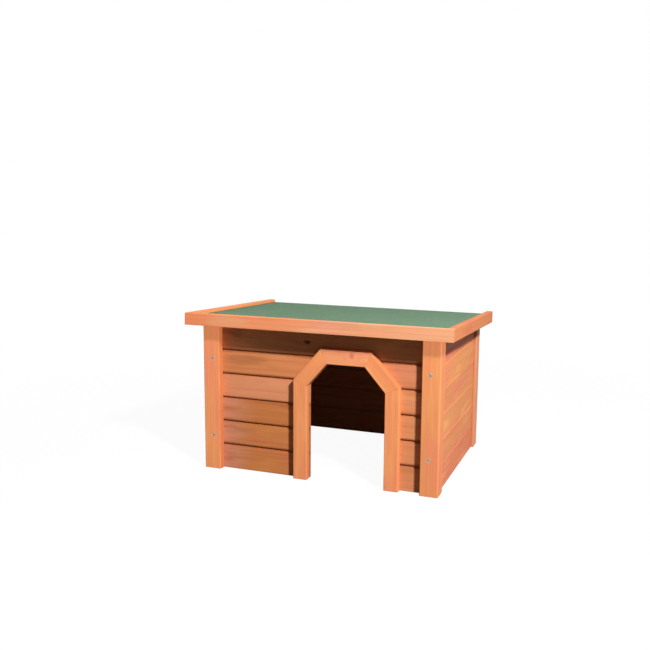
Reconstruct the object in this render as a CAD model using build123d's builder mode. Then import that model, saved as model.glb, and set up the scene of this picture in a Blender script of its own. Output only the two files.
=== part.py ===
from build123d import *
import os
from math import cos, radians, sin, tan

# Flat-roofed wooden house for rabbits or guinea pigs.
# Millimetres, +Z up, the front towards -Y. The origin is on the ground, in the middle of the
# overall box. The roof is one lid, hinged along the top of the back wall.

# House
house_width = 451.0            # over the outer faces of the corner posts
house_depth = 348.5            # front face of the front posts to rear face of the rear posts
front_height = 279.7           # underside of the roof deck over the front face of the front posts
roof_pitch = 2.77              # fall of the roof towards the back, in degrees
post_width = 33.0              # along X
post_depth = 33.0              # along Y
post_edge_bevel = 1.2

# Wall boards, tongued and grooved with a V joint on the outer face
board_thickness = 10.0
narrowest_board = 20.0         # a top board is never ripped narrower than this
tongue_height = 4.0
tongue_thickness = 3.0
joint_clearance = 0.2          # round a tongue in its groove and a board's end in its post
v_joint = 2.8                  # on the front and back walls
side_v_joint = 0.8             # the side walls are almost flush
front_recess = 13.4            # front boards behind the posts' front face
side_recess = 5.0              # side boards inside the posts' outer face
post_groove_depth = 8.0        # grooves and rebates that take the ends of the boards

# Doorway, with a mitred frame of five bars
door_centre_x = 54.5
door_width = 146.0
door_height = 218.0
door_corner_height = 43.0      # height of the opening's cut corners
door_top_flat = 71.0           # straight part of the opening's top edge
door_rows = 5                  # rows of boards that the opening cuts into
board_left_over_door = 9.0     # what the opening leaves of the highest of them
door_trim_width = 26.3
door_trim_thickness = 11.7
trim_edge_radius = 1.2

# Battens inside the front corners
corner_batten_depth = 20.0

# Screws through the front posts into these battens, two on each side
corner_screw_inset = 18.5      # from the post's outer face
corner_screw_heights = (65.0, 213.0)
corner_screw_length = 50.0
corner_screw_radius = 2.0
corner_screw_head_radius = 4.0
screw_clearance = 0.05

# Roof
roof_overhang = 24.5           # past the posts, at the sides and along the slope at the front
deck_thickness = 10.0
felt_thickness = 2.6
felt_fold_bevel = 1.3          # along the edge where the felt turns down at the back
roof_trim_thickness = 12.4
roof_trim_height = 22.3
roof_trim_lip = 5.4            # trim above the felt
roof_seat_gap = 0.3            # deck above the tops of the walls
roof_batten_width = 18.0
roof_batten_height = 18.0
roof_batten_clearance = 2.5    # batten to the posts beside it
roof_batten_end_gap = 15.0     # batten to the front wall and to the rear rail
rear_rail_thickness = 18.0
rear_rail_clearance = 1.0      # rail to the posts at its ends
lowest_rear_rail = 25.0        # a rail is never cut lower than this

# Hinges
hinge_centre_x = 115.0         # each side of the middle
hinge_length = 50.0
leaf_height = 25.0
leaf_thickness = 1.2
leaf_corner_cut = 2.0
knuckle_radius = 3.0
knuckle_clearance = 0.3        # knuckle to the wall and to the next knuckle
hinge_pin_radius = 1.75
hinge_screw_radius = 1.5
hinge_screw_length = 10.2
hinge_screw_spacing = 34.0
hinge_screw_drop = 15.0        # from the pin to the screws

# Sizes and places worked out from the ones above
fall = tan(radians(roof_pitch))
board_pitch = (door_height + board_left_over_door) / door_rows
door_shoulder_height = door_height - door_corner_height
half_width = house_width / 2
post_inner_x = half_width - post_width
roof_half_width = half_width + roof_overhang
trim_inner_x = roof_half_width - roof_trim_thickness
felt_top = deck_thickness + felt_thickness
trim_top = felt_top + roof_trim_lip
trim_bottom = trim_top - roof_trim_height
rear_reach = house_depth + knuckle_clearance + 2 * knuckle_radius
front_reach = roof_overhang * cos(radians(roof_pitch)) - trim_bottom * sin(radians(roof_pitch))
front_y = (front_reach - rear_reach) / 2
rear_y = front_y + house_depth
front_boards_y = front_y + front_recess
side_boards_x = half_width - side_recess
corner_batten_thickness = side_boards_x - board_thickness - post_inner_x
side_start_y = front_y + post_depth
side_end_y = rear_y - post_depth
roof_plane = Plane(
    origin=(0, front_y, front_height),
    x_dir=(1, 0, 0),
    z_dir=(0, sin(radians(roof_pitch)), cos(radians(roof_pitch))),
)
wall_top_plane = roof_plane.offset(-roof_seat_gap)
rear_height = front_height - fall * house_depth
back_rows = int((rear_height - lowest_rear_rail) / board_pitch)
back_wall_height = back_rows * board_pitch
hinge_axis_y = rear_y + knuckle_clearance + knuckle_radius
hinge_axis_z = back_wall_height + roof_seat_gap / 2
hinge_screw_head_radius = hinge_screw_radius + leaf_thickness
hinge_screw_bite = hinge_screw_length - leaf_thickness

os.makedirs("parts", exist_ok=True)


def save(piece, label):
    """Name a finished piece and write it to its own file."""
    piece.part.label = label
    export_step(piece.part, f"parts/{label}.step")


def wall_top_at(y):
    """Height of the walls' top at a distance along Y."""
    return front_height - roof_seat_gap - fall * (y - front_y)


def board_outline(outer, inward, low, high, groove, tongue, v_size):
    """Corners of a board's cross-section. The outer side is at outer, the thickness goes inward."""
    middle = board_thickness / 2
    tongue_half = tongue_thickness / 2
    groove_half = tongue_half + joint_clearance
    groove_top = low + tongue_height + joint_clearance
    upper = [(0, high), (board_thickness, high)]
    if tongue:
        upper = [
            (0, high - v_size),
            (v_size, high),
            (middle - tongue_half, high),
            (middle - tongue_half, high + tongue_height),
            (middle + tongue_half, high + tongue_height),
            (middle + tongue_half, high),
            (board_thickness, high),
        ]
    lower = [(board_thickness, low), (0, low)]
    if groove:
        lower = [
            (board_thickness, low),
            (middle + groove_half, low),
            (middle + groove_half, groove_top),
            (middle - groove_half, groove_top),
            (middle - groove_half, low),
            (v_size, low),
            (0, low + v_size),
        ]
    return [(outer + inward * depth, height) for depth, height in upper + lower]


def board_rows(lowest_top):
    """Row numbers and lower and upper edges of a wall's boards. The top one runs on to the roof."""
    whole = int((lowest_top - narrowest_board) / board_pitch)
    rows = [(row + 1, row * board_pitch, (row + 1) * board_pitch) for row in range(whole)]
    above_roof = front_height + board_pitch
    return rows + [(whole + 1, whole * board_pitch, above_roof)]


def doorway_points(x_shift):
    """Inner corners of the doorway, from the foot of its left side to the foot of its right."""
    half = door_width / 2
    flat = door_top_flat / 2
    corners = [
        (-half, 0),
        (-half, door_shoulder_height),
        (-flat, door_height),
        (flat, door_height),
        (half, door_shoulder_height),
        (half, 0),
    ]
    return [Vector(x + x_shift, z) for x, z in corners]


def corner_screw_places(side):
    """Where a side's two corner screws pass through the post's face, as (x, z)."""
    return [(side * (half_width - corner_screw_inset), height) for height in corner_screw_heights]


# Corner posts, cut to the fall of the roof. Each is channelled for the ends of the boards that
# stand in it: (x, y, width along X, depth along Y, height), with x for the right-hand post
front_board_groove = (
    post_inner_x + post_groove_depth / 2,
    front_boards_y + board_thickness / 2,
    post_groove_depth,
    board_thickness + 2 * joint_clearance,
    front_height,
)
back_board_rebate = (
    post_inner_x + post_groove_depth / 2,
    rear_y - board_thickness / 2,
    post_groove_depth,
    board_thickness,
    back_wall_height,
)
side_board_groove = (
    side_boards_x - board_thickness / 2,
    side_end_y + post_groove_depth / 2,
    board_thickness + 2 * joint_clearance,
    post_groove_depth,
    front_height,
)
for end_name, centre_y, channels in (
    ("front", front_y + post_depth / 2, [front_board_groove]),
    ("rear", rear_y - post_depth / 2, [back_board_rebate, side_board_groove]),
):
    for side_name, side in (("left", -1), ("right", 1)):
        with BuildPart() as post:
            with BuildSketch() as section:
                with Locations((side * (half_width - post_width / 2), centre_y)):
                    Rectangle(post_width, post_depth)
                chamfer(section.vertices(), length=post_edge_bevel)
            extrude(amount=front_height)
            split(bisect_by=wall_top_plane, keep=Keep.BOTTOM)
            for x, y, width, depth, height in channels:
                with BuildSketch():
                    with Locations((side * x, y)):
                        Rectangle(width, depth)
                extrude(amount=height, mode=Mode.SUBTRACT)
            if end_name == "front":
                for x, z in corner_screw_places(side):
                    with Locations(Plane(origin=(x, front_y, z), z_dir=(0, -1, 0))):
                        CounterSinkHole(
                            corner_screw_radius + screw_clearance,
                            corner_screw_head_radius + screw_clearance,
                            depth=post_depth,
                            counter_sink_angle=90,
                        )
        save(post, f"{end_name}_{side_name}_post")

# Front wall boards: their ends stand in the posts' grooves and the doorway is cut through them,
# so a row beside the doorway is two boards
front_board_end = post_inner_x + post_groove_depth - joint_clearance
for row, low, high in board_rows(wall_top_at(front_boards_y + board_thickness)):
    top_row = high > wall_top_at(front_boards_y)
    with BuildPart() as front_board:
        with BuildSketch(Plane.YZ.offset(-front_board_end)):
            outline = board_outline(front_boards_y, 1, low, high, row > 1, not top_row, v_joint)
            Polygon(*outline, align=None)
        extrude(amount=2 * front_board_end)
        if top_row:
            split(bisect_by=wall_top_plane, keep=Keep.BOTTOM)
        with BuildSketch(Plane.XZ.offset(-front_boards_y)):
            Polygon(*doorway_points(door_centre_x), align=None)
        extrude(amount=-board_thickness, mode=Mode.SUBTRACT)
    pieces = front_board.part.solids().sort_by(Axis.X)
    names = ["_left", "_right"] if len(pieces) == 2 else [""]
    for piece, name in zip(pieces, names):
        piece.label = f"front_board_{row}{name}"
        export_step(piece, f"parts/{piece.label}.step")

# Side wall boards. They butt against the front posts, with a batten inside the corner, and
# stand in the rear posts' grooves. The top ones are cut to the roof's fall
side_board_end_y = side_end_y + post_groove_depth - joint_clearance
for side_name, side in (("left", -1), ("right", 1)):
    for row, low, high in board_rows(wall_top_at(side_end_y)):
        top_row = high > wall_top_at(side_start_y)
        with BuildPart() as side_board:
            with BuildSketch(Plane.XZ.offset(-side_board_end_y)):
                outline = board_outline(
                    side * side_boards_x, -side, low, high, row > 1, not top_row, side_v_joint
                )
                Polygon(*outline, align=None)
            extrude(amount=side_board_end_y - side_start_y)
            if top_row:
                split(bisect_by=wall_top_plane, keep=Keep.BOTTOM)
        save(side_board, f"{side_name}_board_{row}")

# Back wall boards: whole boards only, because the rail under the roof fills what is left above.
# The top one is drilled for the hinges' screws
hinge_screw_xs = [
    centre + offset
    for centre in (-hinge_centre_x, hinge_centre_x)
    for offset in (-hinge_screw_spacing / 2, hinge_screw_spacing / 2)
]
wall_screw_places = [(x, hinge_axis_z - hinge_screw_drop) for x in hinge_screw_xs]
roof_screw_places = [(x, hinge_axis_z + hinge_screw_drop) for x in hinge_screw_xs]
back_board_end = post_inner_x + post_groove_depth
for row in range(1, back_rows + 1):
    low, high = (row - 1) * board_pitch, row * board_pitch
    with BuildPart() as back_board:
        with BuildSketch(Plane.YZ.offset(-back_board_end)):
            outline = board_outline(rear_y, -1, low, high, row > 1, row < back_rows, v_joint)
            Polygon(*outline, align=None)
        extrude(amount=2 * back_board_end)
        if row == back_rows:
            with BuildSketch(Plane.XZ.offset(-rear_y)):
                with Locations(*wall_screw_places):
                    Circle(hinge_screw_radius + screw_clearance)
            extrude(amount=hinge_screw_bite, mode=Mode.SUBTRACT)
    save(back_board, f"back_board_{row}")

# Battens inside the front corners, behind the posts. The side boards are nailed to them, and
# the screws through the posts end in them
corner_screw_bite = corner_screw_length - post_depth
for side_name, side in (("left", -1), ("right", 1)):
    with BuildPart() as corner_batten:
        with BuildSketch():
            with Locations((
                side * (post_inner_x + corner_batten_thickness / 2),
                side_start_y + corner_batten_depth / 2,
            )):
                Rectangle(corner_batten_thickness, corner_batten_depth)
        extrude(amount=front_height)
        split(bisect_by=wall_top_plane, keep=Keep.BOTTOM)
        with BuildSketch(Plane.XZ.offset(-side_start_y)):
            with Locations(*corner_screw_places(side)):
                Circle(corner_screw_radius + screw_clearance)
        extrude(amount=-corner_screw_bite, mode=Mode.SUBTRACT)
    save(corner_batten, f"{side_name}_corner_batten")

# Door frame: five bars on the face of the boards, mitred at the corners
inner_corners = doorway_points(door_centre_x)
bar_normals = []
for start, end in zip(inner_corners, inner_corners[1:]):
    along = (end - start).normalized()
    bar_normals.append(Vector(-along.Y, along.X))
outer_corners = [inner_corners[0] + bar_normals[0] * door_trim_width]
for corner, before, after in zip(inner_corners[1:], bar_normals, bar_normals[1:]):
    outer_corners.append(corner + (before + after) * (door_trim_width / (1 + before.dot(after))))
outer_corners.append(inner_corners[-1] + bar_normals[-1] * door_trim_width)

door_bar_names = ["left", "upper_left", "top", "upper_right", "right"]
for index, name in enumerate(door_bar_names):
    with BuildPart() as door_bar:
        with BuildSketch(Plane.XZ.offset(-front_boards_y)):
            Polygon(
                inner_corners[index],
                inner_corners[index + 1],
                outer_corners[index + 1],
                outer_corners[index],
                align=None,
            )
        extrude(amount=door_trim_thickness)
        front_edges = door_bar.edges().group_by(Axis.Y)[0]
        fillet(front_edges.sort_by(SortBy.LENGTH)[-2:], radius=trim_edge_radius)
    save(door_bar, f"door_trim_{name}")


def countersunk_screws(places, face_y, inward, radius, head_radius, length):
    """Screws with flat heads flush with the face at face_y and shanks going inward."""
    with BuildPart() as screws:
        for x, z in places:
            with BuildSketch(Plane(origin=(x, face_y, z))):
                Polygon(
                    (0, 0),
                    (head_radius, 0),
                    (radius, inward * (head_radius - radius)),
                    (radius, inward * length),
                    (0, inward * length),
                    align=None,
                )
            revolve(axis=Axis((x, face_y, z), (0, 1, 0)))
    return screws


corner_screws = countersunk_screws(
    corner_screw_places(-1) + corner_screw_places(1),
    front_y,
    1,
    corner_screw_radius,
    corner_screw_head_radius,
    corner_screw_length,
)
save(corner_screws, "corner_screws")

# Roof lid. Everything here lies in the roof's own sloping plane: X across, Y down the slope
roof_front = -roof_overhang
deck_front = roof_front + roof_trim_thickness
roof_rear = house_depth / cos(radians(roof_pitch))
deck_rear = roof_rear - felt_thickness

with BuildPart() as roof_deck:
    with BuildSketch(roof_plane):
        with Locations((0, (deck_front + deck_rear) / 2)):
            Rectangle(2 * trim_inner_x, deck_rear - deck_front)
    extrude(amount=deck_thickness)
save(roof_deck, "roof_deck")

# The felt lies on the deck and is folded down over its rear edge
felt_section_plane = Plane(
    origin=roof_plane.from_local_coords((-trim_inner_x, 0, 0)),
    x_dir=roof_plane.y_dir,
    z_dir=(1, 0, 0),
)
with BuildPart() as roof_felt:
    with BuildSketch(felt_section_plane):
        with BuildLine():
            Polyline(
                (deck_front, deck_thickness),
                (deck_rear, deck_thickness),
                (deck_rear, 0),
                (roof_rear, 0),
                (roof_rear, felt_top - felt_fold_bevel),
                (roof_rear - felt_fold_bevel, felt_top),
                (deck_front, felt_top),
                close=True,
            )
        make_face()
    extrude(amount=2 * trim_inner_x)
save(roof_felt, "roof_felt")

slope_up = Axis((0, 0, 0), roof_plane.z_dir)
with BuildPart() as front_fascia:
    with BuildSketch(roof_plane.offset(trim_bottom)):
        with Locations((0, (roof_front + deck_front) / 2)):
            Rectangle(2 * roof_half_width, roof_trim_thickness)
    extrude(amount=roof_trim_height)
    fillet(front_fascia.edges().group_by(slope_up)[-1], radius=trim_edge_radius)
save(front_fascia, "front_fascia")

for side_name, side in (("left", -1), ("right", 1)):
    with BuildPart() as side_trim:
        with BuildSketch(roof_plane.offset(trim_bottom)):
            with Locations((side * (roof_half_width + trim_inner_x) / 2, (deck_front + roof_rear) / 2)):
                Rectangle(roof_trim_thickness, roof_rear - deck_front)
        extrude(amount=roof_trim_height)
        top_edges = side_trim.edges().group_by(slope_up)[-1]
        fillet(top_edges.sort_by(SortBy.LENGTH)[-2:], radius=trim_edge_radius)
    save(side_trim, f"{side_name}_roof_trim")

# Battens under the deck. They stiffen it and centre the lid between the posts
roof_batten_x = post_inner_x - roof_batten_clearance - roof_batten_width / 2
roof_batten_start = front_recess + board_thickness + roof_batten_end_gap
roof_batten_end = house_depth - rear_rail_thickness - roof_batten_end_gap
for side_name, side in (("left", -1), ("right", 1)):
    with BuildPart() as roof_batten:
        with BuildSketch(roof_plane):
            with Locations((side * roof_batten_x, (roof_batten_start + roof_batten_end) / 2)):
                Rectangle(roof_batten_width, roof_batten_end - roof_batten_start)
        extrude(amount=-roof_batten_height)
    save(roof_batten, f"{side_name}_roof_batten")

# The rear rail stands on the line of the back wall, upright, and carries the hinges
with BuildPart() as rear_rail:
    with BuildSketch(Plane.XY.offset(back_wall_height + roof_seat_gap)):
        with Locations((0, rear_y - rear_rail_thickness / 2)):
            Rectangle(2 * (post_inner_x - rear_rail_clearance), rear_rail_thickness)
    extrude(amount=front_height - back_wall_height)
    split(bisect_by=roof_plane, keep=Keep.BOTTOM)
    with BuildSketch(Plane.XZ.offset(-rear_y)):
        with Locations(*roof_screw_places):
            Circle(hinge_screw_radius + screw_clearance)
    extrude(amount=hinge_screw_bite, mode=Mode.SUBTRACT)
save(rear_rail, "rear_roof_rail")

# Butt hinges: the wall leaf has the two outer knuckles and the roof leaf the middle one
knuckle_length = (hinge_length - 2 * knuckle_clearance) / 3
outer_knuckle = (hinge_length - knuckle_length) / 2
pin_hole_radius = hinge_pin_radius + screw_clearance


def hinge_leaf(centre_x, up, knuckle_offsets):
    """A leaf above (up = 1) or below (up = -1) the pin, with knuckles at the offsets given."""
    plate_start = knuckle_radius + knuckle_clearance
    with BuildPart() as leaf:
        with BuildSketch(Plane.XZ.offset(-rear_y)):
            with Locations((centre_x, hinge_axis_z + up * (plate_start + leaf_height) / 2)):
                Rectangle(hinge_length, leaf_height - plate_start)
        extrude(amount=-leaf_thickness)
        outer_edges = leaf.edges().filter_by(Axis.Y).group_by(Axis.Z)[-1 if up > 0 else 0]
        chamfer(outer_edges, length=leaf_corner_cut)
        for offset in knuckle_offsets:
            start_x = centre_x + offset - knuckle_length / 2
            with BuildSketch(Plane.YZ.offset(start_x)):
                with Locations((hinge_axis_y, hinge_axis_z)):
                    Circle(knuckle_radius)
                with Locations((rear_y + leaf_thickness / 2, hinge_axis_z + up * plate_start / 2)):
                    Rectangle(leaf_thickness, plate_start)
                with Locations((hinge_axis_y, hinge_axis_z)):
                    Circle(pin_hole_radius, mode=Mode.SUBTRACT)
            extrude(amount=knuckle_length)
        screw_row = (centre_x, rear_y, hinge_axis_z + up * hinge_screw_drop)
        with Locations(Plane(origin=screw_row, x_dir=(1, 0, 0), z_dir=(0, 1, 0))):
            with GridLocations(hinge_screw_spacing, 0, 2, 1):
                Cone(
                    hinge_screw_radius + screw_clearance,
                    hinge_screw_head_radius + screw_clearance,
                    leaf_thickness,
                    align=(Align.CENTER, Align.CENTER, Align.MIN),
                    mode=Mode.SUBTRACT,
                )
    return leaf


for side_name, side in (("left", -1), ("right", 1)):
    wall_leaf = hinge_leaf(side * hinge_centre_x, -1, (-outer_knuckle, outer_knuckle))
    save(wall_leaf, f"{side_name}_hinge_wall_leaf")
    roof_leaf = hinge_leaf(side * hinge_centre_x, 1, (0,))
    save(roof_leaf, f"{side_name}_hinge_roof_leaf")

# The pins end flush with the knuckles
with BuildPart() as hinge_pins:
    for centre_x in (-hinge_centre_x, hinge_centre_x):
        with BuildSketch(Plane.YZ.offset(centre_x - hinge_length / 2)):
            with Locations((hinge_axis_y, hinge_axis_z)):
                Circle(hinge_pin_radius)
        extrude(amount=hinge_length)
save(hinge_pins, "hinge_pins")

for body_name, places in (("wall", wall_screw_places), ("roof", roof_screw_places)):
    hinge_screws = countersunk_screws(
        places,
        rear_y + leaf_thickness,
        -1,
        hinge_screw_radius,
        hinge_screw_head_radius,
        hinge_screw_length,
    )
    save(hinge_screws, f"{body_name}_hinge_screws")
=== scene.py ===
"""Looks of the small animal shelter: glazed wood, mineral felt, zinc fittings, studio light."""
import bmesh
import bpy
from math import cos, pi, radians, sin
from mathutils import Matrix, Vector, noise


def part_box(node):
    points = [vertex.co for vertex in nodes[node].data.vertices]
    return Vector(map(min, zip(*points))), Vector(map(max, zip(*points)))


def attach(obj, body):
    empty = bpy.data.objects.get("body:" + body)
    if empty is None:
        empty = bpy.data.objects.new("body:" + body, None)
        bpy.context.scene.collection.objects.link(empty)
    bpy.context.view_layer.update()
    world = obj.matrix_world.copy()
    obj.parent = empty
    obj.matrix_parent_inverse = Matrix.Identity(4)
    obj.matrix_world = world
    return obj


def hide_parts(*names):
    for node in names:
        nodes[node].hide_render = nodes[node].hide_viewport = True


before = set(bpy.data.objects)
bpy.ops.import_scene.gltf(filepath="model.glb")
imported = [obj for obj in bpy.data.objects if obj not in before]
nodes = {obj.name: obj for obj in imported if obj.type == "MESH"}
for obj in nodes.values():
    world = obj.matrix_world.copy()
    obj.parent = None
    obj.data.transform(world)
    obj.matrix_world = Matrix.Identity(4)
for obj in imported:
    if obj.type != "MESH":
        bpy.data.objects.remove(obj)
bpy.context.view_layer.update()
scene = bpy.context.scene

ALONG_X = Vector((1, 0, 0))
ALONG_Y = Vector((0, 1, 0))
ALONG_Z = Vector((0, 0, 1))

# Sizes of the house in metres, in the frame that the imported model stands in
POST_X = 0.2255         # outer faces of the posts
FRONT_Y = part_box("front_left_post")[0].y
REAR_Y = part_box("rear_left_post")[1].y
BOARD_FACE_Y = FRONT_Y + 0.0134
TONGUE = 0.004
DOOR_X = 0.0545
DOOR_HALF = 0.073       # half the doorway's width
DOOR_TOP_HALF = 0.0355  # half its level top
DOOR_SHOULDER = 0.175   # height at which its cut corners begin
DOOR_CORNER = 0.043     # height of the cut corners
TRIM_WIDTH = 0.0263
TRIM_FACE_Y = FRONT_Y + 0.0017
ROOF_PITCH = radians(2.77)
FRONT_HEIGHT = 0.2797   # underside of the roof deck over the posts' front face
ROOF_ORIGIN = Vector((0, FRONT_Y, FRONT_HEIGHT))
SLOPE = Vector((0, cos(ROOF_PITCH), -sin(ROOF_PITCH)))
ROOF_NORMAL = Vector((0, sin(ROOF_PITCH), cos(ROOF_PITCH)))


def srgb(red, green, blue):
    """An sRGB colour from 0 to 255 as the linear colour that a socket takes."""
    linear = []
    for value in (red, green, blue):
        v = value / 255
        linear.append(v / 12.92 if v <= 0.04045 else ((v + 0.055) / 1.055) ** 2.4)
    return (*linear, 1.0)


def tinted(tone, shares):
    """A tone with its red, green and blue multiplied by three shares."""
    return tuple(channel * share for channel, share in zip(tone, shares)) + (1.0,)


class Graph:
    """The node tree of a material or a world, with short ways to add and join its nodes."""

    def __init__(self, owner):
        self.owner = owner
        owner.use_nodes = True
        self.tree = owner.node_tree
        self.tree.nodes.clear()

    def add(self, kind, sockets=(), **settings):
        node = self.tree.nodes.new("ShaderNode" + kind)
        for key, value in settings.items():
            setattr(node, key, value)
        for key, value in dict(sockets).items():
            if isinstance(value, bpy.types.NodeSocket):
                self.tree.links.new(value, node.inputs[key])
            else:
                node.inputs[key].default_value = value
        return node

    def place(self):
        return self.add("TexCoord").outputs["Object"]

    def math(self, operation, a, b=0.0):
        return self.add("Math", {0: a, 1: b}, operation=operation).outputs[0]

    def vector(self, operation, a, b):
        return self.add("VectorMath", {0: a, 1: b}, operation=operation).outputs[0]

    def dot(self, a, b):
        return self.add("VectorMath", {0: a, 1: b}, operation="DOT_PRODUCT").outputs["Value"]

    def length(self, vector):
        return self.add("VectorMath", {0: vector}, operation="LENGTH").outputs["Value"]

    def mix(self, factor, a, b):
        return self.add("Mix", {0: factor, 6: a, 7: b}, data_type="RGBA").outputs[2]

    def mix_shaders(self, factor, a, b):
        return self.add("MixShader", {0: factor, 1: a.outputs[0], 2: b.outputs[0]})

    def smooth(self, value, low, high, out_low=0.0, out_high=1.0):
        sockets = {"Value": value, "From Min": low, "From Max": high,
                   "To Min": out_low, "To Max": out_high}
        return self.add("MapRange", sockets, interpolation_type="SMOOTHSTEP").outputs[0]

    def noise(self, vector, scale, detail=2.0, roughness=0.5):
        sockets = {"Vector": vector, "Scale": scale, "Detail": detail, "Roughness": roughness}
        return self.add("TexNoise", sockets).outputs[0]

    def mapping(self, vector, location=(0, 0, 0), rotation=(0, 0, 0), scale=(1, 1, 1)):
        sockets = {"Vector": vector, "Location": location, "Rotation": rotation, "Scale": scale}
        return self.add("Mapping", sockets).outputs[0]

    def stretched(self, vector, scale, detail, roughness=0.5, location=(0, 0, 0)):
        """Noise whose scale differs along the three axes."""
        spread = self.mapping(vector, location=location, scale=scale)
        return self.noise(spread, 1.0, detail, roughness)

    def rounded(self, radius):
        return self.add("Bevel", {"Radius": radius}, samples=6).outputs[0]

    def edges(self, radius):
        """1 on worn corners and 0 on flat faces, from how far a rounded normal turns away."""
        flat = self.add("NewGeometry").outputs["True Normal"]
        return self.smooth(self.dot(self.rounded(radius), flat), 0.995, 0.8)

    def plain_background(self):
        """1 for the rays that see the background itself, and 0 for those that light the house."""
        paths = self.add("LightPath").outputs
        mirrored = self.math("MAXIMUM", paths["Is Glossy Ray"], paths["Is Transmission Ray"])
        return self.math("MAXIMUM", paths["Is Camera Ray"], mirrored)

    def finish(self, shader, output="OutputMaterial"):
        self.add(output, {"Surface": shader.outputs[0]})
        return self.owner


# Where the wood or its glaze differs, the tone's red, green and blue are multiplied by these
DEEP = (0.72, 0.55, 0.45)      # latewood and end grain
HONEY = (1.02, 1.20, 0.88)     # streaks
ROSY = (1.04, 0.82, 1.18)      # blushes
UMBER = (0.74, 0.66, 0.58)     # brown clouds
SAP = (1.16, 1.34, 1.20)       # pale patches
PAINTED_SHADE = (0.40, 0.28, 0.22)  # painted shade in corners and joints
BARE_WOOD = (0.80, 0.52, 0.30)
KNOT_HEART = srgb(70, 38, 18)

# How fine the figure is, along the fibres and across them, per metre
FIBRE_SCALE = (9, 620, 620)
STREAK_SCALE = (2.2, 80, 80)
PATCH_SCALE = (7, 34, 34)
BLUSH_SCALE = (6.5, 22, 22)
CLOUD_SCALE = (8, 46, 46)
KERF_SCALE = (420, 14, 14)

RING_WIDTH = 0.0042  # of a year's growth
RUBBED = 0.0016      # width of a corner that is rubbed paler
ARRIS = 0.0011       # radius that every corner seems to have
RAGGED_FROM = 0.001  # a painted shade band wider than this has a ragged edge


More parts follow.
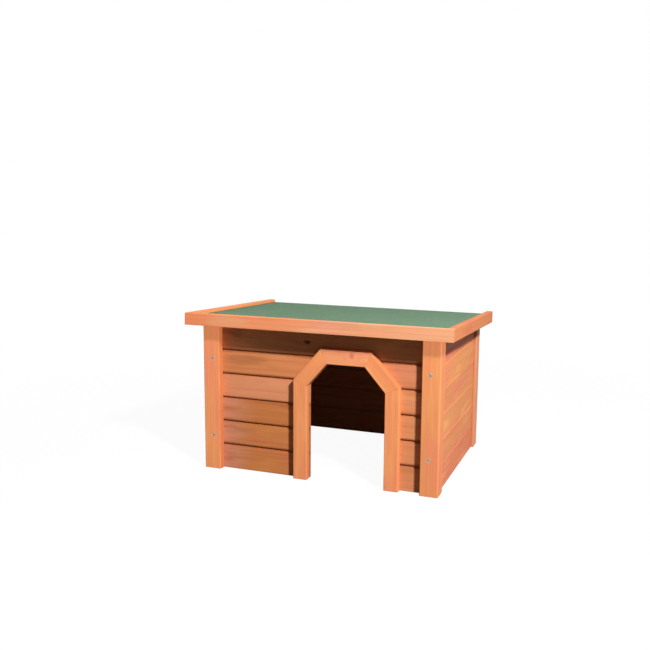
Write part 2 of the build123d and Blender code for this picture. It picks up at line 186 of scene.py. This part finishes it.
def wood(name, tone, grain, seed, centre, pith, figure=0.5, red=0.5, pale=0.4, cloudy=0.25,
         knot=None, start=None, gathers=(), rough=0.58, sawn=0.0):
    """Glazed softwood. The rings run round a pith beside the piece and the fibres along its grain.

    pith is the pith's place across the grain, from the centre of the piece. figure, red, pale and
    cloudy are the strengths of the rings, blushes, pale patches and brown clouds. A knot has a
    place, half a length, half a height and a darkness. start is the tone at the piece's low end,
    and where along the grain it begins and ends to change. The bands of painted shade, darker
    towards a corner or joint, each have a direction, the distances along it where the shade
    begins and is full, and how strong it is. sawn is how deep the saw's marks are.
    """
    g = Graph(bpy.data.materials.new(name))
    place = g.place()
    turn = grain.rotation_difference(ALONG_X)
    turned_centre = turn @ centre
    log_place = seed * 0.731 % 3.0  # metres along its log at which the piece was cut
    offset = (log_place - turned_centre.x, -turned_centre.y - pith[0], -turned_centre.z - pith[1])
    along = g.mapping(place, location=offset, rotation=turn.to_euler())

    # A knot bends the rings round it: a bump in the ring coordinate and a dark heart
    lifted = along
    if knot:
        knot_place, half_length, half_height, darkness = knot
        away = g.mapping(g.vector("SUBTRACT", place, knot_place), rotation=turn.to_euler())
        flat = g.mapping(away, scale=(1 / half_length, 1 / half_height, 1 / half_height))
        distance = g.length(flat)
        ragged = g.math("ADD", distance, g.math("MULTIPLY", g.noise(flat, 1.4), 0.7))
        heart = g.smooth(ragged, 1.5, 0.75, 0.0, darkness)
        swell = g.smooth(distance, 5.0, 0.5, 0.0, half_height * darkness * 1.7)
        lifted = g.vector("ADD", along, g.add("CombineXYZ", {1: swell, 2: swell}).outputs[0])

    # Growth rings: a slow rise to the dark latewood and a quick fall
    wander = {"Vector": g.mapping(lifted, scale=(0.05, 1, 1)), "Scale": 2 * pi / (20 * RING_WIDTH),
              "Distortion": 3.2, "Detail": 3.0, "Detail Scale": 0.35, "Detail Roughness": 0.55}
    rings = g.add("TexWave", wander, wave_type="RINGS", rings_direction="X",
                  wave_profile="SAW").outputs["Fac"]
    latewood = g.smooth(rings, 0.45, 0.95)

    # Fibres, streaks of colour and broad patches
    fibres = g.stretched(lifted, FIBRE_SCALE, 3.0, 0.6)
    streaks = g.stretched(lifted, STREAK_SCALE, 4.0, 0.6)
    patches = g.stretched(lifted, PATCH_SCALE, 2.0)
    blush = g.stretched(lifted, BLUSH_SCALE, 1.0, location=(3.1, 1.7, 0.4))
    clouds = g.stretched(lifted, CLOUD_SCALE, 3.0, 0.55, location=(7.3, 0.9, 2.6))
    deep = tinted(tone, DEEP)
    plain = tone
    if start:
        low_tone, low, high = start
        wobble = g.math("MULTIPLY", g.math("SUBTRACT", patches, 0.5), (high - low) * 0.9)
        reach = g.math("ADD", g.dot(place, grain), wobble)
        plain = g.mix(g.smooth(reach, low, high), low_tone, tone)
    colour = g.mix(g.smooth(streaks, 0.35, 0.72, 0.0, 0.35), plain, tinted(tone, HONEY))
    colour = g.mix(g.smooth(blush, 0.50, 0.68, 0.0, red), colour, tinted(tone, ROSY))
    colour = g.mix(g.smooth(clouds, 0.52, 0.72, 0.0, cloudy), colour, tinted(tone, UMBER))
    colour = g.mix(g.math("MULTIPLY", latewood, figure * 0.42), colour, deep)
    colour = g.mix(g.smooth(patches, 0.54, 0.74, 0.0, pale), colour, tinted(tone, SAP))
    shade = g.smooth(fibres, 0.30, 0.70, 0.93, 1.05)
    colour = g.add("VectorMath", {0: colour, "Scale": shade}, operation="SCALE").outputs[0]

    # Painted shade in the corners and joints, and the knot's heart
    for direction, begins, full, strength in gathers:
        reach = g.dot(place, direction)
        if abs(begins - full) > RAGGED_FROM:
            uneven = g.math("MULTIPLY", g.math("SUBTRACT", clouds, 0.5), 0.004)
            reach = g.math("ADD", reach, uneven)
        colour = g.mix(g.smooth(reach, begins, full, 0.0, strength), colour, tinted(tone, PAINTED_SHADE))
    if knot:
        colour = g.mix(heart, colour, KNOT_HEART)

    # The ends drink in more glaze
    facing = g.math("ABSOLUTE", g.dot(g.add("TexCoord").outputs["Normal"], grain))
    end_grain = g.smooth(facing, 0.80, 0.93)
    end_ring = g.smooth(rings, 0.3, 0.95, 0.35, 0.75)
    colour = g.mix(g.math("MULTIPLY", end_grain, end_ring), colour, deep)

    # Corners are rubbed paler, unevenly
    rub = g.math("MULTIPLY", g.edges(RUBBED), g.smooth(g.noise(place, 60.0, 3.0), 0.42, 0.68))
    worn = tuple(0.75 * channel + 0.25 * bare for channel, bare in zip(tone, BARE_WOOD)) + (1.0,)
    colour = g.mix(g.math("MULTIPLY", rub, 0.4), colour, worn)

    gloss = g.math("ADD", g.smooth(fibres, 0.2, 0.8, rough + 0.10, rough - 0.06),
                   g.math("MULTIPLY", latewood, -0.06))
    height = g.math("ADD", g.math("MULTIPLY", fibres, 0.55 + sawn),
                    g.math("MULTIPLY", latewood, 0.5))
    if sawn:
        kerf_way = g.mapping(along, rotation=(0, 0, 0.12), scale=KERF_SCALE)
        height = g.math("ADD", height, g.math("MULTIPLY", g.noise(kerf_way, 1.0), sawn))
    if knot:
        height = g.math("ADD", height, g.math("MULTIPLY", heart, -0.8))
    bump = g.add("Bump", {"Strength": 0.35, "Distance": 0.00035, "Height": height,
                          "Normal": g.rounded(ARRIS)})
    return g.finish(g.add("BsdfPrincipled", {
        "Base Color": colour,
        "Roughness": gloss,
        "Specular IOR Level": 0.05,
        "Normal": bump.outputs[0],
    }))


# The grit's tones, and where each lies on the way from the darkest grains to the palest
GRIT_TONES = (
    (0.0, srgb(70, 97, 76)),
    (0.35, srgb(94, 125, 100)),
    (0.7, srgb(115, 143, 118)),
    (1.0, srgb(141, 159, 136)),
)


def felt_material(name):
    """Roofing felt under green mineral grit."""
    g = Graph(bpy.data.materials.new(name))
    place = g.place()
    grit = g.add("TexVoronoi", {"Vector": place, "Scale": 900.0, "Randomness": 1.0}, feature="F1")
    fine = g.add("TexVoronoi", {"Vector": place, "Scale": 1900.0, "Randomness": 1.0}, feature="F1")
    grit_tone = g.add("SeparateColor", {0: grit.outputs["Color"]}).outputs[0]
    fine_tone = g.add("SeparateColor", {0: fine.outputs["Color"]}).outputs[1]
    ramp = g.add("ValToRGB", {0: g.math("ADD", g.math("MULTIPLY", grit_tone, 0.65),
                                        g.math("MULTIPLY", fine_tone, 0.35))})
    stops = ramp.color_ramp.elements
    for stop, (position, tone) in zip(stops, (GRIT_TONES[0], GRIT_TONES[-1])):
        stop.position, stop.color = position, tone
    for position, tone in GRIT_TONES[1:-1]:
        stops.new(position).color = tone
    weather = g.noise(g.mapping(place, scale=(1, 1.7, 1)), 7.0, 3.0)
    colour = g.mix(g.smooth(weather, 0.42, 0.70, 0.0, 0.35), ramp.outputs[0], srgb(105, 126, 98))
    colour = g.mix(g.smooth(g.noise(place, 34.0, 4.0), 0.5, 0.75, 0.0, 0.25), colour,
                   srgb(82, 111, 88))
    bare = g.math("MULTIPLY", g.edges(0.0015), g.smooth(g.noise(place, 90.0, 3.0), 0.45, 0.65))
    colour = g.mix(g.math("MULTIPLY", bare, 0.7), colour, srgb(60, 66, 58))
    height = g.math("SUBTRACT", 1.0, grit.outputs["Distance"])
    bump = g.add("Bump", {"Strength": 0.7, "Distance": 0.0006, "Height": height})
    return g.finish(g.add("BsdfPrincipled", {
        "Base Color": colour,
        "Roughness": g.smooth(fine_tone, 0.0, 1.0, 0.82, 0.98),
        "Specular IOR Level": 0.1,
        "Normal": bump.outputs[0],
    }))


PLY_PAIR = 0.004  # thickness of two plies of the deck


def plywood_material(name):
    """The deck: pale face veneers with a wild figure, and plies that show along its edges."""
    g = Graph(bpy.data.materials.new(name))
    level = g.mapping(g.mapping(g.place(), location=(0, 0, -FRONT_HEIGHT)),
                      rotation=(ROOF_PITCH, 0, 0))
    height = g.add("SeparateXYZ", {0: level}).outputs[2]
    figure = g.stretched(level, (3, 22, 22), 4.0, 0.6)
    swirl = g.add("TexWave", {"Vector": g.mapping(level, scale=(0.12, 1, 1)), "Scale": 9.0,
                              "Distortion": 9.0, "Detail": 3.0, "Detail Scale": 1.2},
                  wave_type="BANDS", bands_direction="Y").outputs["Fac"]
    fibres = g.stretched(level, (12, 700, 700), 3.0)
    ply = g.math("FRACT", g.math("MULTIPLY", height, 1 / PLY_PAIR))
    cross = g.smooth(g.math("PINGPONG", ply, 0.5), 0.22, 0.28)
    colour = g.mix(g.smooth(figure, 0.35, 0.7), srgb(206, 168, 122), srgb(188, 144, 98))
    colour = g.mix(g.smooth(swirl, 0.6, 0.95, 0.0, 0.35), colour, srgb(168, 122, 80))
    colour = g.mix(g.math("MULTIPLY", cross, 0.45), colour, srgb(150, 104, 66))
    colour = g.mix(g.smooth(fibres, 0.6, 0.8, 0.0, 0.3), colour, srgb(150, 108, 70))
    bump = g.add("Bump", {"Strength": 0.3, "Distance": 0.0003, "Height": fibres})
    return g.finish(g.add("BsdfPrincipled", {
        "Base Color": colour,
        "Roughness": g.smooth(fibres, 0.2, 0.8, 0.6, 0.78),
        "Specular IOR Level": 0.3,
        "Normal": bump.outputs[0],
    }))


def zinc_material(name, tone, scratch_scale, dull=0.0):
    """Zinc plating, a little yellow and patchy, rubbed bright along the edges."""
    g = Graph(bpy.data.materials.new(name))
    place = g.place()
    cloud = g.noise(place, 240.0, 4.0, 0.6)
    drawn = g.noise(g.mapping(place, scale=(1, 14, 14)), scratch_scale, 3.0, 0.7)
    stain = g.noise(place, 90.0, 3.0)
    colour = g.mix(g.smooth(cloud, 0.35, 0.7), tone, tinted(tone, (0.8, 0.8, 0.8)))
    colour = g.mix(g.smooth(stain, 0.55, 0.75, 0.0, 0.4), colour, srgb(186, 168, 128))
    corner = g.edges(0.0004)
    colour = g.mix(g.math("MULTIPLY", corner, 0.6), colour, srgb(226, 226, 222))
    rough = g.math("ADD", g.smooth(cloud, 0.3, 0.7, 0.30 + dull, 0.44 + dull),
                   g.math("MULTIPLY", corner, -0.08))
    bump = g.add("Bump", {"Strength": 0.2, "Distance": 0.0001, "Height": drawn})
    return g.finish(g.add("BsdfPrincipled", {
        "Base Color": colour,
        "Metallic": 1.0,
        "Roughness": rough,
        "Normal": bump.outputs[0],
    }))


def paint(piece, material):
    piece.data.materials.clear()
    piece.data.materials.append(material)


# Tones of the glaze, on the posts and the door frame, the roof's trim, the boards and the battens
GLAZE = srgb(234, 146, 96)
GLAZE_ROSY = srgb(234, 152, 106)
GLAZE_PALE = srgb(250, 158, 104)
GLAZE_PLAIN = srgb(226, 143, 93)
GLAZE_DEEP = srgb(208, 128, 82)
GLAZE_DULL = srgb(222, 148, 112)
FASCIA = srgb(220, 154, 115)
# The deeper tone is painted shade at the fascia's left end
FASCIA_PAINTED_SHADE = srgb(240, 140, 96)
BOARD = srgb(214, 132, 84)
BOARD_PALE = srgb(220, 143, 103)
BOARD_BROWN = srgb(200, 122, 72)
BOARD_ROSY = srgb(212, 142, 114)
BOARD_RIGHT = srgb(206, 133, 91)
# Painted shade as a darker board tone, and painted light as its paler left end on the top front
# board
BOARD_PAINTED_SHADE = srgb(192, 122, 78)
BOARD_PAINTED_LESS_SHADE = srgb(250, 165, 112)
WALL = srgb(220, 138, 92)
WALL_YELLOW = srgb(222, 144, 92)
WALL_RED = srgb(220, 128, 92)
BATTEN = srgb(200, 128, 84)


def centre_of(name):
    low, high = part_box(name)
    return (low + high) / 2


def dress(name, tone, grain, seed, pith, **settings):
    material = wood("wood_" + name, tone, grain, seed, centre_of(name), pith, **settings)
    paint(nodes[name], material)


def pith_of(number, turns, near, step, spread):
    """A pith's place across the grain that differs from board to board."""
    return (near + step * (number * turns % 4), spread * (number * 3 % 5) - 2 * spread)


# Painted shade on side faces of the posts and the door frame beside the boards, and a faint mark on
# its top bar
POST_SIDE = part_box("front_left_post")[1].x
POST_REVEAL_PAINTED_SHADE = (ALONG_X, POST_SIDE - 0.0014, POST_SIDE - 0.0003, 0.58)
BOARD_END_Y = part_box("rear_left_post")[0].y
REAR_CORNER_PAINTED_SHADE = (ALONG_Y, BOARD_END_Y + 0.0011, BOARD_END_Y + 0.0002, 0.42)
CORNER_RUN = DOOR_HALF - DOOR_TOP_HALF
UP_LEFT = Vector((CORNER_RUN, 0, DOOR_CORNER)).normalized()
UP_RIGHT = Vector((-CORNER_RUN, 0, DOOR_CORNER)).normalized()
OUT_RIGHT = Vector((DOOR_CORNER, 0, CORNER_RUN)).normalized()
SHOULDER_SIDE = OUT_RIGHT.dot(Vector((DOOR_X + DOOR_HALF, 0, DOOR_SHOULDER))) + TRIM_WIDTH
SHOULDER_PAINTED_SHADE = (OUT_RIGHT, SHOULDER_SIDE - 0.0014, SHOULDER_SIDE - 0.0005, 0.42)
JAMB_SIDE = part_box("door_trim_left")[1].x
JAMB_PAINTED_SHADE = (ALONG_X, JAMB_SIDE - 0.0008, JAMB_SIDE - 0.0002, 0.2)
TOP_MARK = (Vector((0.0665, TRIM_FACE_Y, 0.2362)), 0.0044, 0.0066, 0.30)

# Posts and door frame
for seed, (name, tone, grain, pith, others) in enumerate((
    ("front_left_post", GLAZE_PALE, ALONG_Z, (0.024, 0.045), {"gathers": [POST_REVEAL_PAINTED_SHADE]}),
    ("front_right_post", GLAZE_PLAIN, ALONG_Z, (-0.035, 0.038), {}),
    ("rear_left_post", GLAZE_DEEP, ALONG_Z, (0.03, -0.02), {"gathers": [REAR_CORNER_PAINTED_SHADE]}),
    ("rear_right_post", GLAZE_DULL, ALONG_Z, (0.02, 0.035), {"gathers": [REAR_CORNER_PAINTED_SHADE]}),
    ("door_trim_left", GLAZE, ALONG_Z, (0.03, 0.02), {"gathers": [JAMB_PAINTED_SHADE]}),
    ("door_trim_right", GLAZE, ALONG_Z, (0.034, -0.018), {}),
    ("door_trim_top", GLAZE_ROSY, ALONG_X, (0.03, 0.015), {"knot": TOP_MARK}),
    ("door_trim_upper_left", GLAZE, UP_LEFT, (0.03, 0.02), {}),
    ("door_trim_upper_right", GLAZE, UP_RIGHT, (0.02, 0.03),
     {"pale": 0.7, "gathers": [SHOULDER_PAINTED_SHADE]}),
), 1):
    dress(name, tone, grain, seed, pith, figure=0.3, **others)


# Bands of painted shade along a board's lower and upper joints
def seam_painted_shade_below(name, strength):
    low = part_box(name)[0].z
    return (ALONG_Z, low + 0.0070, low + 0.0024, strength)


def seam_painted_shade_above(name, strength):
    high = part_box(name)[1].z - TONGUE
    return (ALONG_Z, high - 0.0040, high - 0.0022, strength)


# Front boards: each has its tone, how rosy it is and, where its left end differs, how that starts.
# Their joints are darkened with painted shade, but not where the lowest ones stand on the floor
TOP_KNOT = (Vector((-0.022, BOARD_FACE_Y, 0.253)), 0.0080, 0.0045, 0.92)
LEFT_END = (BOARD_ROSY, -0.185, -0.120)
front_boards = {
    "front_board_1_left": (BOARD_BROWN, 0.5, LEFT_END),
    "front_board_2_left": (BOARD_BROWN, 0.5, LEFT_END),
    "front_board_3_left": (BOARD_BROWN, 0.5, LEFT_END),
    "front_board_4_left": (BOARD_PALE, 0.5, None),
    "front_board_5": (BOARD_RIGHT, 0.4, (BOARD, 0.0, 0.12)),
    # The top board's dark tone is painted shade from the roof, its paler left end painted light
    "front_board_6": (BOARD_PAINTED_SHADE, 0.3, (BOARD_PAINTED_LESS_SHADE, -0.19, -0.04)),
    "front_board_1_right": (BOARD_RIGHT, 0.3, None),
    "front_board_2_right": (BOARD_RIGHT, 0.9, None),
    "front_board_3_right": (BOARD_RIGHT, 0.3, None),
    "front_board_4_right": (BOARD_RIGHT, 0.5, None),
}
for index, (name, (tone, red, start)) in enumerate(front_boards.items()):
    top_board = name == "front_board_6"
    gathers = []
    if not name.startswith("front_board_1"):
        gathers.append(seam_painted_shade_below(name, 0.8))
    if not top_board:
        gathers.append(seam_painted_shade_above(name, 0.55))
    dress(name, tone, ALONG_X, 20 + index, pith_of(index, 5, 0.022, 0.011, 0.006), red=red,
          pale=0.7, cloudy=0.7, knot=TOP_KNOT if top_board else None, start=start, gathers=gathers)

# Side and back boards
side_tones = (WALL_RED, WALL, WALL_YELLOW, WALL, WALL_YELLOW, WALL_RED)
for side, seed_before in (("left", 40), ("right", 60)):
    for row, tone in enumerate(side_tones, 1):
        seed = seed_before + row
        dress(f"{side}_board_{row}", tone, ALONG_Y, seed, pith_of(seed, 7, 0.02, 0.012, 0.007),
              figure=0.3, red=0.6, pale=0.85)
# The back boards' dark tone is painted shade inside the house
for row in range(1, 6):
    seed = 80 + row
    name = f"back_board_{row}"
    dress(name, BOARD_PAINTED_SHADE, ALONG_X, seed, pith_of(seed, 7, -0.025, -0.01, 0.007), pale=0.5,
          cloudy=0.5, gathers=[seam_painted_shade_below(name, 0.5)])

# Roof trim, battens and deck
# The fascia's deeper left end is painted shade
dress("front_fascia", FASCIA, ALONG_X, 100, (0.03, 0.02), figure=0.3,
      start=(FASCIA_PAINTED_SHADE, -0.24, 0.22))
dress("left_roof_trim", GLAZE, SLOPE, 101, (0.02, 0.03), figure=0.3)
dress("right_roof_trim", GLAZE_DEEP, SLOPE, 102, (-0.02, 0.03), figure=0.3)
for seed, (name, grain) in enumerate((
    ("left_corner_batten", ALONG_Z),
    ("right_corner_batten", ALONG_Z),
    ("left_roof_batten", SLOPE),
    ("right_roof_batten", SLOPE),
    ("rear_roof_rail", ALONG_X),
), 110):
    dress(name, BATTEN, grain, seed, (0.02, 0.016), rough=0.66, sawn=0.7)
paint(nodes["roof_deck"], plywood_material("plywood_deck"))

# Hinges
steel = zinc_material("zinc_hinge", srgb(178, 176, 166), 300.0)
for name in ("left_hinge_wall_leaf", "right_hinge_wall_leaf", "left_hinge_roof_leaf",
             "right_hinge_roof_leaf", "hinge_pins"):
    paint(nodes[name], steel)


def new_piece(name, build, material, body, replaced):
    """A mesh object made with bmesh that stands for a node and moves with its body."""
    mesh = bpy.data.meshes.new(name)
    shape = bmesh.new()
    build(shape)
    bmesh.ops.recalc_face_normals(shape, faces=shape.faces)
    shape.to_mesh(mesh)
    shape.free()
    piece = bpy.data.objects.new(name, mesh)
    scene.collection.objects.link(piece)
    paint(piece, material)
    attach(piece, body)
    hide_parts(replaced)


# Screws: the shank's radius, the head's radius and the length
CORNER_SCREW = (0.002, 0.004, 0.050)
CORNER_SCREW_X = POST_X - 0.0185
CORNER_SCREW_HEIGHTS = (0.065, 0.213)
HINGE_SCREW = (0.0015, 0.0027, 0.0102)
HINGE_X = 0.115
HINGE_SCREW_OFFSET = 0.017
LEAF_THICKNESS = 0.0012

HEAD_SIDES = 48
CROSS_CORNERS = 12


def bridge(shape, first, second, smooth=True):
    """Faces between two rings of as many vertices."""
    count = len(first)
    for i in range(count):
        j = (i + 1) % count
        face = shape.faces.new((first[i], first[j], second[j], second[i]))
        face.smooth = smooth


def add_screw(shape, centre, normal, size, twist):
    """A countersunk cross-head screw. centre is the middle of its head's face, and normal points
    out of the wood."""
    shank, head, length = size
    across = normal.cross(ALONG_Z).normalized()
    upright = across.cross(normal).normalized()
    axis_u = across * cos(twist) + upright * sin(twist)
    axis_v = upright * cos(twist) - across * sin(twist)

    def vertex(u, v, depth):
        return shape.verts.new(centre + axis_u * u + axis_v * v - normal * depth)

    def ring(radius, depth):
        angles = [2 * pi * step / HEAD_SIDES for step in range(HEAD_SIDES)]
        return [vertex(radius * cos(angle), radius * sin(angle), depth) for angle in angles]

    # The dished head, its countersunk underside and the shank
    dish = 0.035 * head
    rim = ring(head * 0.985, 0.0)
    lip = ring(head, 0.04 * head)
    inner = ring(head * 0.80, dish)
    neck = ring(shank, head - shank)
    end = ring(shank * 0.92, length - 2.2 * shank)
    tip = ring(shank * 0.12, length)
    for first, second in ((rim, inner), (lip, rim), (neck, lip), (end, neck), (tip, end)):
        bridge(shape, first, second)
    shape.faces.new(tip)

    # The cross recess, which narrows to its floor
    arm, half = 0.56 * head, 0.11 * head
    cross = [
        (arm, half), (half, half), (half, arm), (-half, arm), (-half, half), (-arm, half),
        (-arm, -half), (-half, -half), (-half, -arm), (half, -arm), (half, -half), (arm, -half),
    ]
    top = [vertex(u, v, dish) for u, v in cross]
    low = [vertex(u * 0.62, v * 0.8, 0.42 * head) for u, v in cross]
    edges = [shape.edges.new((top[i], top[(i + 1) % CROSS_CORNERS])) for i in range(CROSS_CORNERS)]
    loop = [shape.edges.get((inner[i], inner[(i + 1) % HEAD_SIDES])) for i in range(HEAD_SIDES)]
    bmesh.ops.triangle_fill(shape, use_beauty=True, edges=edges + loop)
    bridge(shape, top, low, smooth=False)
    shape.faces.new(low)


def corner_screw_heads(shape):
    twists = iter((0.3, 1.0, 0.6, 1.3))
    for side in (-1, 1):
        for z in CORNER_SCREW_HEIGHTS:
            centre = Vector((side * CORNER_SCREW_X, FRONT_Y, z))
            add_screw(shape, centre, -ALONG_Y, CORNER_SCREW, next(twists))


def hinge_screw_heads(node, twists):
    """A function that builds the screws of a node of hinge screws."""
    def build(shape):
        wanted = iter(twists)
        z = centre_of(node).z
        for hinge_x in (-HINGE_X, HINGE_X):
            for offset in (-HINGE_SCREW_OFFSET, HINGE_SCREW_OFFSET):
                centre = Vector((hinge_x + offset, REAR_Y + LEAF_THICKNESS, z))
                add_screw(shape, centre, ALONG_Y, HINGE_SCREW, next(wanted))
    return build


screw_zinc = zinc_material("zinc_screws", srgb(190, 164, 128), 500.0, dull=0.08)
new_piece("corner_screw_heads", corner_screw_heads, screw_zinc, "house", "corner_screws")
new_piece("wall_hinge_screw_heads", hinge_screw_heads("wall_hinge_screws", (0.2, 0.9, 0.5, 1.4)),
          screw_zinc, "house", "wall_hinge_screws")
new_piece("roof_hinge_screw_heads", hinge_screw_heads("roof_hinge_screws", (1.1, 0.4, 0.8, 0.1)),
          screw_zinc, "roof", "roof_hinge_screws")

# The felt on the roof's plane: x across it, y down the slope and height square to it
FELT_HALF = 0.2376
FELT_FRONT, DECK_REAR, FELT_REAR = -0.0121, 0.346305, 0.348905
DECK_TOP, FELT_TOP = 0.010, 0.0126
FOLD_RADIUS = 0.0024
FELT_COLUMNS, FELT_ROWS, FOLD_ROWS, LIP_ROWS = 128, 96, 6, 4
WAVE_DEPTH, GRIT_DEPTH, LIP_RAGGED = 0.00028, 0.00012, 0.0007
FLAT_ROWS = 4  # the profile's last rows, from the lip's lower edge under the felt to the front


def random_share(x, y, z):
    """Noise from 0 to 1, the same on each run."""
    return 0.5 + 0.5 * noise.noise(Vector((x, y, z)))


def felt_sheet(shape):
    """The felt, laid with faint waves, folded over the rear edge and trimmed a little unevenly."""
    # The outline of a cut down the slope: y, height and how much the waves lower it
    profile = []
    level = FELT_REAR - FOLD_RADIUS - FELT_FRONT
    for row in range(FELT_ROWS + 1):
        profile.append((FELT_FRONT + level * row / FELT_ROWS, FELT_TOP, 1.0))
    for row in range(1, FOLD_ROWS + 1):
        angle = pi / 2 * row / FOLD_ROWS
        profile.append((FELT_REAR - FOLD_RADIUS + FOLD_RADIUS * sin(angle),
                        FELT_TOP - FOLD_RADIUS + FOLD_RADIUS * cos(angle), 0.3))
    for row in range(1, LIP_ROWS + 1):
        profile.append((FELT_REAR, (FELT_TOP - FOLD_RADIUS) * (1 - row / LIP_ROWS), 0.0))
    profile += [(DECK_REAR, 0.0, 0.0), (DECK_REAR, DECK_TOP, 0.0), (FELT_FRONT, DECK_TOP, 0.0)]
    rows = len(profile)
    lip_edge = (rows - FLAT_ROWS, rows - FLAT_ROWS + 1)

    columns = []
    for step in range(FELT_COLUMNS + 1):
        x = -FELT_HALF + 2 * FELT_HALF * step / FELT_COLUMNS
        column = []
        for row, (y, height, loose) in enumerate(profile):
            wave = random_share(x * 9, y * 11, 3.7)
            grit = random_share(x * 160, y * 160, 8.1)
            height -= loose * (WAVE_DEPTH * wave + GRIT_DEPTH * grit)
            if row in lip_edge:
                height += LIP_RAGGED * random_share(x * 55, 0.3, 1.9)
            point = ROOF_ORIGIN + ALONG_X * x + SLOPE * y + ROOF_NORMAL * height
            column.append(shape.verts.new(point))
        columns.append(column)
    for first, second in zip(columns, columns[1:]):
        for i in range(rows):
            j = (i + 1) % rows
            face = shape.faces.new((first[i], first[j], second[j], second[i]))
            face.smooth = i < rows - FLAT_ROWS
    shape.faces.new(columns[0])
    shape.faces.new(columns[-1])


new_piece("felt_sheet", felt_sheet, felt_material("mineral_felt"), "roof", "roof_felt")

# Floor: the camera sees it white, with a little of the shade near the house
FLOOR_REACH, FLOOR_Z = 9.0, -0.0004
floor_corners = [(x * FLOOR_REACH, y * FLOOR_REACH, FLOOR_Z)
                 for x, y in ((-1, -1), (1, -1), (1, 1), (-1, 1))]
floor_mesh = bpy.data.meshes.new("studio_floor")
floor_mesh.from_pydata(floor_corners, [], [(0, 1, 2, 3)])
floor = bpy.data.objects.new("studio_floor", floor_mesh)
scene.collection.objects.link(floor)
g = Graph(bpy.data.materials.new("studio_floor"))
white = g.add("Emission", {"Color": (1, 1, 1, 1), "Strength": 1.0})
lit = g.add("BsdfDiffuse", {"Color": (0.9, 0.9, 0.9, 1)})
dim = g.add("BsdfDiffuse", {"Color": (0.14, 0.14, 0.14, 1)})
near_house = g.smooth(g.length(g.place()), 1.5, 0.5, 0.0, 0.05)
shown = g.mix_shaders(near_house, white, lit)
paint(floor, g.finish(g.mix_shaders(g.plain_background(), dim, shown)))

world = bpy.data.worlds.new("studio_world")
scene.world = world
g = Graph(world)
ambient = g.add("Background", {"Color": (1.0, 0.98, 0.96, 1), "Strength": 0.13})
backdrop = g.add("Background", {"Color": (1, 1, 1, 1)})
g.finish(g.mix_shaders(g.plain_background(), ambient, backdrop), "OutputWorld")


def linked(name, names, state):
    """A collection that says which pieces a lamp lights, or which ones shade it."""
    group = bpy.data.collections.new(name)
    for piece_name in names:
        group.objects.link(bpy.data.objects[piece_name])
    for member in group.collection_objects:
        member.light_linking.link_state = state
    return group


TARGET = Vector((0.0, -0.05, 0.15))


def softbox(name, way, away, size, energy, lights=None, shaded_by=None):
    """A round lamp that looks along way at TARGET, from a distance away."""
    data = bpy.data.lights.new(name, "AREA")
    data.shape = "DISK"
    data.size = size
    data.energy = energy
    lamp = bpy.data.objects.new(name, data)
    scene.collection.objects.link(lamp)
    lamp.location = TARGET - way.normalized() * away
    lamp.rotation_euler = way.to_track_quat("-Z", "Y").to_euler()
    if lights:
        lamp.light_linking.receiver_collection = lights
    if shaded_by:
        lamp.light_linking.blocker_collection = shaded_by
    return lamp


# A softbox in front, on the right and above, and one behind the left corner. The front one is
# three lamps at one place. The roof shades the boards below it fully, but hardly the tops of the
# front posts: those have two lamps of their own, and the roof's pieces let the stronger one by
KEY = {"way": Vector((-1.38, 1.24, -1.50)), "away": 2.386, "size": 0.22}
KEY_ENERGY = 92.0
LET_BY = 0.68
posts = ("front_left_post", "front_right_post")
roof_pieces = ("front_fascia", "left_roof_trim", "right_roof_trim", "roof_deck", "felt_sheet")
all_but_posts = linked("all_but_posts", posts, "EXCLUDE")
posts_alone = linked("posts_alone", posts, "INCLUDE")
open_roof = linked("open_roof", roof_pieces, "EXCLUDE")
softbox("key_softbox", energy=KEY_ENERGY, lights=all_but_posts, **KEY)
softbox("post_softbox", energy=KEY_ENERGY * (1 - LET_BY), lights=posts_alone, **KEY)
softbox("post_softbox_let_by", energy=KEY_ENERGY * LET_BY, lights=posts_alone,
        shaded_by=open_roof, **KEY)
rear = softbox("rear_softbox", way=Vector((1.0, -1.1, -0.22)), away=2.9, size=0.9, energy=60.0)
rear.visible_glossy = False

# Camera, as the photograph was taken
YAW, DROP, ROLL = radians(20.94), radians(8.89), radians(0.32)
CAMERA_PLACE = Vector((0.5277, -1.4998, 0.5120))
LENS, SENSOR = 45.74, 36.0
ahead = Vector((-sin(YAW) * cos(DROP), cos(YAW) * cos(DROP), -sin(DROP)))
level_right = Vector((cos(YAW), sin(YAW), 0))
level_up = level_right.cross(ahead)
right = level_right * cos(ROLL) + level_up * sin(ROLL)
up = level_up * cos(ROLL) - level_right * sin(ROLL)
camera_data = bpy.data.cameras.new("camera")
camera_data.sensor_width = SENSOR
camera_data.lens = LENS
camera_data.clip_end = 50.0
camera = bpy.data.objects.new("camera", camera_data)
scene.collection.objects.link(camera)
axes = Matrix((right, up, -ahead)).transposed()
camera.matrix_world = Matrix.Translation(CAMERA_PLACE) @ axes.to_4x4()
scene.camera = camera

scene.view_settings.view_transform = "Standard"
